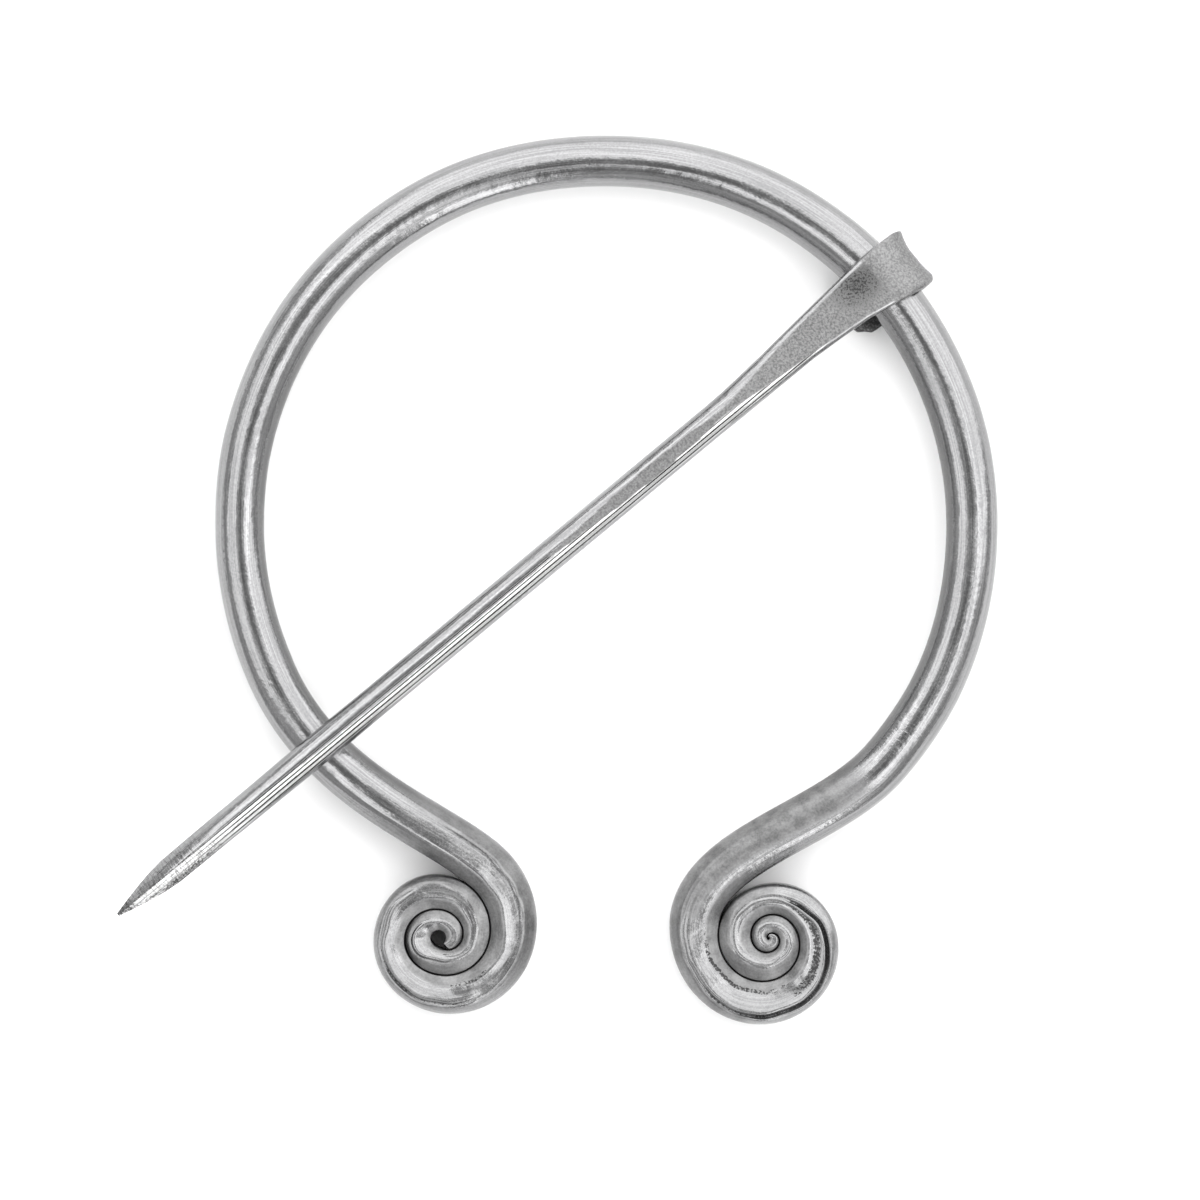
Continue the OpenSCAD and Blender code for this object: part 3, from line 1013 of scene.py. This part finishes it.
def factor(name, description, default):
    """A share or a brightness that the user can change."""
    return FloatProperty(name=name, description=description, default=default, subtype="FACTOR")


def tint(name, description, *rgb):
    """A colour that the user can change."""
    return FloatVectorProperty(
        name=name, description=description, default=(*rgb, 1), subtype="COLOR", size=4)


class HoopSizes(bpy.types.PropertyGroup):
    """Sizes of the hoop and its coils."""

    hoop_radius: length("Hoop radius", "From the hoop's centre to the middle of its rod", 30.5)
    rod_thickness: length("Rod thickness", "Height of the round rod", 4.25)
    coil_height: length("Coil height", "Height of a coil's first turn", 5.4)
    coil_dish: length("Coil dish", "How much lower the innermost turn stands than the first", 0.6)
    turn_gap: length("Turn gap", "Gap between two turns of a coil", 0.09)
    facet_depth: factor("Facet depth", "Depth of the rod's faint flats, as a share of it", 0.008)


class PinSizes(bpy.types.PropertyGroup):
    """Sizes of the pin."""

    reach: length("Reach", "From the point to the middle of the hoop's rod", 82.2)
    point_length: length("Point length", "Length of the filed point", 12)
    swell_length: length("Swell length", "Length over which the shaft swells behind the point", 14)
    point_slimmer: length("Slimmer by", "How much slimmer the shaft is behind its point", 0.15)
    strip_thickness: length("Strip thickness", "Thickness of the head's bent strip", 0.9)
    tail_length: length("Tail length", "Length of the strip's free end under the rod", 3.6)
    head_dent: length("Head dent", "Depth of the dent where the head meets the rod", 0.26)
    loop_bulge: length("Loop bulge", "How much further out the loop stands beside the rod", 0.28)
    corner_rounding: length("Corner rounding", "How far the head's lower corner is worn back", 0.4)
    corner_reach: length("Corner reach", "How far the head's upper corner sticks out", 0.3)
    facet_depth: factor("Facet depth", "Depth of the shaft's faint flats, as a share of it", 0.01)


class SteelLook(bpy.types.PropertyGroup):
    """Colours and finish of the steel, and the colours of its painted highlight and painted shade.
    """

    light_steel: tint("Light steel", "Colour of the polished streaks", 0.32, 0.32, 0.323)
    dark_steel: tint("Dark steel", "Colour between the polished streaks", 0.21, 0.21, 0.213)
    # The colour of the pin's painted highlight
    painted_highlight: tint("Bright steel", "Colour of the pin's bright lower side", 0.74, 0.74, 0.74)
    matt_steel: tint("Matt steel", "Colour of the filed flats", 0.235, 0.235, 0.235)
    # This colour also paints the shade on the hoop's inner side
    pits_and_inner_shade: tint("Matt dark steel", "Colour of the pits in them", 0.105, 0.105, 0.105)
    # The colour of painted shade in seams, hollows and grooves, and of dark lines and file marks
    shade_and_dirt: tint("Dirt", "Colour of the dark oxide in the seams", 0.05, 0.05, 0.05)
    polish: factor("Polish", "Roughness of the best polished stretches", 0.11)
    matt_gain: factor("Matt gain", "Extra roughness of the filed flats", 0.34)
    line_depth: length("Line depth", "Depth of the lines along the rod", 0.008)
    pin_line_depth: length("Pin line depth", "Depth of the lines along the pin", 0.016)
    groove_gap: length("Groove gap", "Distance between the grooves along the pin", 0.31)
    grain_depth: length("Grain depth", "Depth of the filed grain", 0.011)
    dent_depth: length("Dent depth", "Depth of the hammer's dents", 0.05)


class StageLook(bpy.types.PropertyGroup):
    """The floor, the camera and how bright the lights are."""

    floor: tint("Floor", "Colour of the floor", 0.9, 0.9, 0.9)
    light: factor("Light", "Brightness of the softboxes", 1.0)
    sky: factor("Sky", "Brightness of the room round the softboxes", 0.8)
    shade: factor("Shade", "Brightness of the strip of shade overhead", 0.38)
    view_width: length("View width", "Width that the camera sees", 100)
    focal_length: FloatProperty(
        name="Focal length", description="The camera's focal length", default=300, unit="CAMERA")


class BROOCH_OT_hoop(bpy.types.Operator):
    """Forge the hoop: the round rod, its shanks and both coils"""

    bl_idname = "brooch.hoop"
    bl_label = "Hoop"

    def execute(self, context):
        scene = context.scene
        piece = sweep("forged_hoop", hoop_stations(scene.brooch_hoop))
        finish_piece(piece, "hoop", steel("drawn_steel", scene.brooch_steel, False))
        return {"FINISHED"}


class BROOCH_OT_pin(bpy.types.Operator):
    """File the pin: its point, shaft, neck and the strip bent round the hoop's rod"""

    bl_idname = "brooch.pin"
    bl_label = "Pin"

    def execute(self, context):
        scene = context.scene
        line = PinLine(scene.brooch_pin, scene.brooch_hoop.hoop_radius)
        piece = sweep("filed_pin", line.stations())
        finish_piece(piece, "pin", steel("filed_steel", scene.brooch_steel, True))
        return {"FINISHED"}


# Softboxes: the direction each stands in (0 is +X, 90 is +Y), how high it stands in degrees, its
# distance, width and height in metres, and how bright it looks
BOX_TOWARDS, BOX_UP, BOX_FAR, BOX_WIDE, BOX_TALL, BOX_BRIGHT = range(6)
SOFTBOXES = {
    "key": (68, 39, 1, 3.2, 1.62, 1.95),
    "left": (175, 50, 0.9, 0.8, 0.55, 1.6),
    "right": (-24, 56, 0.9, 0.55, 0.45, 1.7),
    "front_left": (240, 62, 0.9, 0.3, 0.4, 2.2),
    "front_right": (308, 52, 1, 0.6, 0.75, 0.85),
    "low": (291, 21, 0.9, 0.28, 0.5, 3),
}
FLOOR_RADIUS, FLOOR_SIDES, FLOOR_MATT = 3.0, 96, 0.9
# The strip of shade, in parts of the way from overhead to the floor's edge: its middle in X, where
# it starts in Y, how its sides fade, and where it ends towards -Y
SHADE_MIDDLE, SHADE_START, SHADE_EDGE, SHADE_END = -0.03, -0.06, (0.12, 0.19), (-0.78, -0.86)
# What the middle of the picture looks at, from the hoop's centre
PICTURE_MIDDLE = (-0.5 * MM, -6.25 * MM)


def add_softbox(name, box, light):
    """A rectangular light that faces the brooch, as bright as it is told whatever its size."""
    data = bpy.data.lights.new(name, "AREA")
    data.shape = "RECTANGLE"
    data.size, data.size_y = box[BOX_WIDE], box[BOX_TALL]
    data.energy = light * box[BOX_BRIGHT] * box[BOX_WIDE] * box[BOX_TALL] * math.pi
    flat = heading(box[BOX_TOWARDS]) * math.cos(math.radians(box[BOX_UP]))
    way = Vector((flat.x, flat.y, math.sin(math.radians(box[BOX_UP]))))
    lamp = add_object(name, data)
    lamp.location = way * box[BOX_FAR]
    lamp.rotation_euler = way.to_track_quat("Z", "Y").to_euler()
    lamp.visible_camera = False


def add_room(look):
    """An even pale room, with a strip of shade overhead and towards the picture's foot."""
    world = bpy.data.worlds.new("room")
    world.use_nodes = True
    recipe = Recipe(world.node_tree)
    x, y, _ = recipe.parts(recipe.coordinate("Generated"))
    aside = x - SHADE_MIDDLE
    ahead = recipe.maths("MAXIMUM", y - SHADE_START, 0.0)
    off = recipe.maths("SQRT", aside * aside + ahead * ahead)
    lit = recipe.maths("MAXIMUM", off.step(*SHADE_EDGE), y.step(*SHADE_END))
    grey = lit * (look.sky - look.shade) + look.shade
    background = recipe.node("ShaderNodeBackground", {}, {"Color": (1, 1, 1, 1), "Strength": grey})
    recipe.node("ShaderNodeOutputWorld", {}, {"Surface": background})
    bpy.context.scene.world = world


def add_floor(look):
    """A pale round floor."""
    bm = bmesh.new()
    bmesh.ops.create_circle(bm, cap_ends=True, segments=FLOOR_SIDES, radius=FLOOR_RADIUS)
    floor = add_mesh("floor", bm)
    material = new_material("floor")
    recipe = Recipe(material.node_tree)
    recipe.shade({"Base Color": look.floor, "Roughness": FLOOR_MATT})
    floor.data.materials.append(material)


def add_camera(look):
    """A camera straight above the brooch, with the picture's top towards +Y."""
    data = bpy.data.cameras.new("camera")
    data.lens = look.focal_length
    camera = add_object("camera", data)
    far = look.view_width * data.lens / data.sensor_width
    camera.location = (*PICTURE_MIDDLE, ROD_Z + far)
    bpy.context.scene.camera = camera


class BROOCH_OT_stage(bpy.types.Operator):
    """Set the stage: a pale floor, soft light and a camera straight above"""

    bl_idname = "brooch.stage"
    bl_label = "Stage"

    def execute(self, context):
        look = context.scene.brooch_stage
        add_room(look)
        context.scene.view_settings.view_transform = "Standard"
        for name, box in SOFTBOXES.items():
            add_softbox(name, box, look.light)
        add_floor(look)
        add_camera(look)
        return {"FINISHED"}


class BROOCH_PT_sidebar(bpy.types.Panel):
    """The brooch's pieces and its stage"""

    bl_idname = "BROOCH_PT_sidebar"
    bl_label = "Penannular brooch"
    bl_space_type = "VIEW_3D"
    bl_region_type = "UI"
    bl_category = "Brooch"

    def draw(self, context):
        for operator in OPERATORS:
            self.layout.operator(operator.bl_idname)
        for group, owner in GROUPS.items():
            self.layout.label(text=group.__doc__)
            for name in group.__annotations__:
                self.layout.prop(getattr(context.scene, owner), name)


OPERATORS = (BROOCH_OT_stage, BROOCH_OT_hoop, BROOCH_OT_pin)
GROUPS = {
    HoopSizes: "brooch_hoop",
    PinSizes: "brooch_pin",
    SteelLook: "brooch_steel",
    StageLook: "brooch_stage",
}


def register():
    """Registers the settings, the operators and the panel."""
    for group, name in GROUPS.items():
        bpy.utils.register_class(group)
        setattr(bpy.types.Scene, name, PointerProperty(type=group))
    for item in (*OPERATORS, BROOCH_PT_sidebar):
        bpy.utils.register_class(item)


def unregister():
    """Takes back what register did."""
    for item in (BROOCH_PT_sidebar, *reversed(OPERATORS)):
        bpy.utils.unregister_class(item)
    for group, name in GROUPS.items():
        delattr(bpy.types.Scene, name)
        bpy.utils.unregister_class(group)


def main():
    """Registers the settings and builds the stage and both pieces."""
    register()
    bpy.ops.brooch.stage()
    bpy.ops.brooch.hoop()
    bpy.ops.brooch.pin()


if __name__ == "__main__":
    main()
